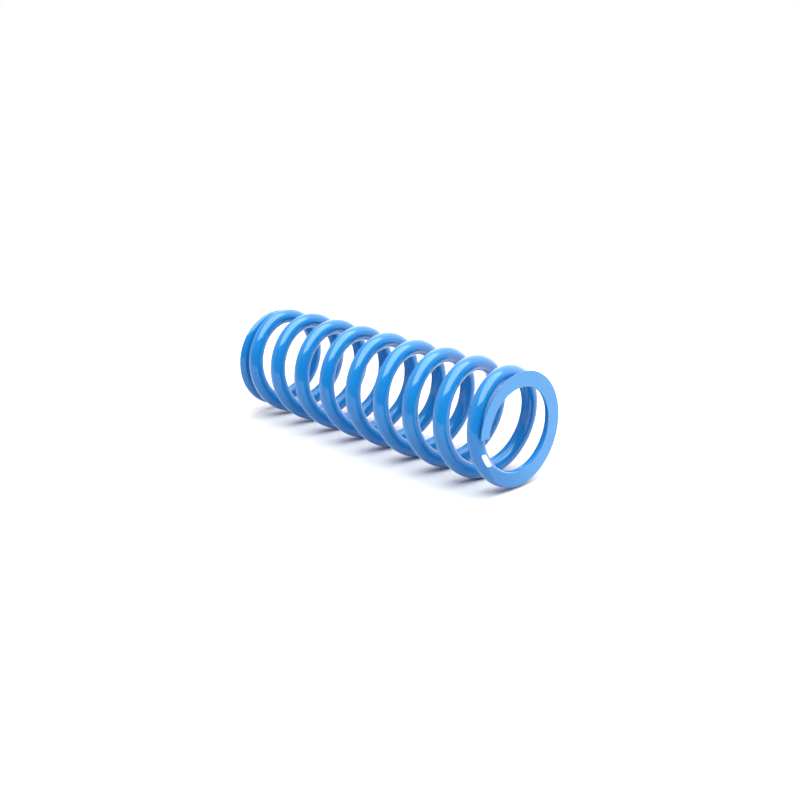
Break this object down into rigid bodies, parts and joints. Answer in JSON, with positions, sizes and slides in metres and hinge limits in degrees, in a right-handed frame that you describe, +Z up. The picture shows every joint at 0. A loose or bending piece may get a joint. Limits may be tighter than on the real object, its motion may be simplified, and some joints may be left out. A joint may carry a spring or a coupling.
{
  "type": "coil spring",
  "caption": "Helical compression spring of round wire with closed, ground ends and a straight open bore, in glossy blue paint.",
  "frame": {"origin": "on the floor under the middle of the spring's length, with the spring lying on its side", "axes": "+X along the coil axis towards the front ground face, +Z up, +Y to the right of someone facing the front ground face"},
  "size_m": [0.2692, 0.0868, 0.0868],
  "materials": {
    "wire_enamel": "glossy blue enamel over steel wire",
    "end_coil_enamel": "glossy blue enamel over steel wire, with a flat ground end under the paint"
  },
  "bodies": {
    "rear_end": {"rear_end_coil": "end_coil_enamel", "turn_1_left": "wire_enamel"},
    "turn_1_bottom": {"turn_1_bottom": "wire_enamel"},
    "turn_1_right": {"turn_1_right": "wire_enamel"},
    "turn_1_top": {"turn_1_top": "wire_enamel"},
    "turn_2_left": {"turn_2_left": "wire_enamel"},
    "turn_2_bottom": {"turn_2_bottom": "wire_enamel"},
    "turn_2_right": {"turn_2_right": "wire_enamel"},
    "turn_2_top": {"turn_2_top": "wire_enamel"},
    "turn_3_left": {"turn_3_left": "wire_enamel"},
    "turn_3_bottom": {"turn_3_bottom": "wire_enamel"},
    "turn_3_right": {"turn_3_right": "wire_enamel"},
    "turn_3_top": {"turn_3_top": "wire_enamel"},
    "turn_4_left": {"turn_4_left": "wire_enamel"},
    "turn_4_bottom": {"turn_4_bottom": "wire_enamel"},
    "turn_4_right": {"turn_4_right": "wire_enamel"},
    "turn_4_top": {"turn_4_top": "wire_enamel"},
    "turn_5_left": {"turn_5_left": "wire_enamel"},
    "turn_5_bottom": {"turn_5_bottom": "wire_enamel"},
    "turn_5_right": {"turn_5_right": "wire_enamel"},
    "turn_5_top": {"turn_5_top": "wire_enamel"},
    "turn_6_left": {"turn_6_left": "wire_enamel"},
    "turn_6_bottom": {"turn_6_bottom": "wire_enamel"},
    "turn_6_right": {"turn_6_right": "wire_enamel"},
    "turn_6_top": {"turn_6_top": "wire_enamel"},
    "turn_7_left": {"turn_7_left": "wire_enamel"},
    "turn_7_bottom": {"turn_7_bottom": "wire_enamel"},
    "turn_7_right": {"turn_7_right": "wire_enamel"},
    "turn_7_top": {"turn_7_top": "wire_enamel"},
    "turn_8_left": {"turn_8_left": "wire_enamel"},
    "turn_8_bottom": {"turn_8_bottom": "wire_enamel"},
    "turn_8_right": {"turn_8_right": "wire_enamel"},
    "front_end": {"turn_8_top": "wire_enamel", "front_end_coil": "end_coil_enamel"}
  },
  "joints": [
    {"name": "compression", "type": "slide", "parent": "rear_end", "child": "front_end", "axis": [-1, 0, 0], "range_m": [0, 0.132], "stiffness_N_per_m": 51000},
    {"name": "turn_1_bottom_travel", "type": "slide", "parent": "rear_end", "child": "turn_1_bottom", "axis": [-1, 0, 0], "range_m": [0, 0.00426]},
    {"name": "turn_1_right_travel", "type": "slide", "parent": "rear_end", "child": "turn_1_right", "axis": [-1, 0, 0], "range_m": [0, 0.00852]},
    {"name": "turn_1_top_travel", "type": "slide", "parent": "rear_end", "child": "turn_1_top", "axis": [-1, 0, 0], "range_m": [0, 0.01278]},
    {"name": "turn_2_left_travel", "type": "slide", "parent": "rear_end", "child": "turn_2_left", "axis": [-1, 0, 0], "range_m": [0, 0.01704]},
    {"name": "turn_2_bottom_travel", "type": "slide", "parent": "rear_end", "child": "turn_2_bottom", "axis": [-1, 0, 0], "range_m": [0, 0.0213]},
    {"name": "turn_2_right_travel", "type": "slide", "parent": "rear_end", "child": "turn_2_right", "axis": [-1, 0, 0], "range_m": [0, 0.02555]},
    {"name": "turn_2_top_travel", "type": "slide", "parent": "rear_end", "child": "turn_2_top", "axis": [-1, 0, 0], "range_m": [0, 0.02981]},
    {"name": "turn_3_left_travel", "type": "slide", "parent": "rear_end", "child": "turn_3_left", "axis": [-1, 0, 0], "range_m": [0, 0.03407]},
    {"name": "turn_3_bottom_travel", "type": "slide", "parent": "rear_end", "child": "turn_3_bottom", "axis": [-1, 0, 0], "range_m": [0, 0.03833]},
    {"name": "turn_3_right_travel", "type": "slide", "parent": "rear_end", "child": "turn_3_right", "axis": [-1, 0, 0], "range_m": [0, 0.04259]},
    {"name": "turn_3_top_travel", "type": "slide", "parent": "rear_end", "child": "turn_3_top", "axis": [-1, 0, 0], "range_m": [0, 0.04684]},
    {"name": "turn_4_left_travel", "type": "slide", "parent": "rear_end", "child": "turn_4_left", "axis": [-1, 0, 0], "range_m": [0, 0.0511]},
    {"name": "turn_4_bottom_travel", "type": "slide", "parent": "rear_end", "child": "turn_4_bottom", "axis": [-1, 0, 0], "range_m": [0, 0.05536]},
    {"name": "turn_4_right_travel", "type": "slide", "parent": "rear_end", "child": "turn_4_right", "axis": [-1, 0, 0], "range_m": [0, 0.05962]},
    {"name": "turn_4_top_travel", "type": "slide", "parent": "rear_end", "child": "turn_4_top", "axis": [-1, 0, 0], "range_m": [0, 0.06388]},
    {"name": "turn_5_left_travel", "type": "slide", "parent": "rear_end", "child": "turn_5_left", "axis": [-1, 0, 0], "range_m": [0, 0.06813]},
    {"name": "turn_5_bottom_travel", "type": "slide", "parent": "rear_end", "child": "turn_5_bottom", "axis": [-1, 0, 0], "range_m": [0, 0.07239]},
    {"name": "turn_5_right_travel", "type": "slide", "parent": "rear_end", "child": "turn_5_right", "axis": [-1, 0, 0], "range_m": [0, 0.07665]},
    {"name": "turn_5_top_travel", "type": "slide", "parent": "rear_end", "child": "turn_5_top", "axis": [-1, 0, 0], "range_m": [0, 0.08091]},
    {"name": "turn_6_left_travel", "type": "slide", "parent": "rear_end", "child": "turn_6_left", "axis": [-1, 0, 0], "range_m": [0, 0.08517]},
    {"name": "turn_6_bottom_travel", "type": "slide", "parent": "rear_end", "child": "turn_6_bottom", "axis": [-1, 0, 0], "range_m": [0, 0.08942]},
    {"name": "turn_6_right_travel", "type": "slide", "parent": "rear_end", "child": "turn_6_right", "axis": [-1, 0, 0], "range_m": [0, 0.09368]},
    {"name": "turn_6_top_travel", "type": "slide", "parent": "rear_end", "child": "turn_6_top", "axis": [-1, 0, 0], "range_m": [0, 0.09794]},
    {"name": "turn_7_left_travel", "type": "slide", "parent": "rear_end", "child": "turn_7_left", "axis": [-1, 0, 0], "range_m": [0, 0.1022]},
    {"name": "turn_7_bottom_travel", "type": "slide", "parent": "rear_end", "child": "turn_7_bottom", "axis": [-1, 0, 0], "range_m": [0, 0.10646]},
    {"name": "turn_7_right_travel", "type": "slide", "parent": "rear_end", "child": "turn_7_right", "axis": [-1, 0, 0], "range_m": [0, 0.11071]},
    {"name": "turn_7_top_travel", "type": "slide", "parent": "rear_end", "child": "turn_7_top", "axis": [-1, 0, 0], "range_m": [0, 0.11497]},
    {"name": "turn_8_left_travel", "type": "slide", "parent": "rear_end", "child": "turn_8_left", "axis": [-1, 0, 0], "range_m": [0, 0.11923]},
    {"name": "turn_8_bottom_travel", "type": "slide", "parent": "rear_end", "child": "turn_8_bottom", "axis": [-1, 0, 0], "range_m": [0, 0.12349]},
    {"name": "turn_8_right_travel", "type": "slide", "parent": "rear_end", "child": "turn_8_right", "axis": [-1, 0, 0], "range_m": [0, 0.12775]}
  ],
  "couplings": [
    {"joint": "turn_1_bottom_travel", "follows": "compression", "ratio": 0.032258},
    {"joint": "turn_1_right_travel", "follows": "compression", "ratio": 0.064516},
    {"joint": "turn_1_top_travel", "follows": "compression", "ratio": 0.096774},
    {"joint": "turn_2_left_travel", "follows": "compression", "ratio": 0.12903},
    {"joint": "turn_2_bottom_travel", "follows": "compression", "ratio": 0.16129},
    {"joint": "turn_2_right_travel", "follows": "compression", "ratio": 0.19355},
    {"joint": "turn_2_top_travel", "follows": "compression", "ratio": 0.22581},
    {"joint": "turn_3_left_travel", "follows": "compression", "ratio": 0.25806},
    {"joint": "turn_3_bottom_travel", "follows": "compression", "ratio": 0.29032},
    {"joint": "turn_3_right_travel", "follows": "compression", "ratio": 0.32258},
    {"joint": "turn_3_top_travel", "follows": "compression", "ratio": 0.35484},
    {"joint": "turn_4_left_travel", "follows": "compression", "ratio": 0.3871},
    {"joint": "turn_4_bottom_travel", "follows": "compression", "ratio": 0.41935},
    {"joint": "turn_4_right_travel", "follows": "compression", "ratio": 0.45161},
    {"joint": "turn_4_top_travel", "follows": "compression", "ratio": 0.48387},
    {"joint": "turn_5_left_travel", "follows": "compression", "ratio": 0.51613},
    {"joint": "turn_5_bottom_travel", "follows": "compression", "ratio": 0.54839},
    {"joint": "turn_5_right_travel", "follows": "compression", "ratio": 0.58064},
    {"joint": "turn_5_top_travel", "follows": "compression", "ratio": 0.6129},
    {"joint": "turn_6_left_travel", "follows": "compression", "ratio": 0.64516},
    {"joint": "turn_6_bottom_travel", "follows": "compression", "ratio": 0.67742},
    {"joint": "turn_6_right_travel", "follows": "compression", "ratio": 0.70968},
    {"joint": "turn_6_top_travel", "follows": "compression", "ratio": 0.74194},
    {"joint": "turn_7_left_travel", "follows": "compression", "ratio": 0.77419},
    {"joint": "turn_7_bottom_travel", "follows": "compression", "ratio": 0.80645},
    {"joint": "turn_7_right_travel", "follows": "compression", "ratio": 0.83871},
    {"joint": "turn_7_top_travel", "follows": "compression", "ratio": 0.87097},
    {"joint": "turn_8_left_travel", "follows": "compression", "ratio": 0.90323},
    {"joint": "turn_8_bottom_travel", "follows": "compression", "ratio": 0.93548},
    {"joint": "turn_8_right_travel", "follows": "compression", "ratio": 0.96774}
  ]
}
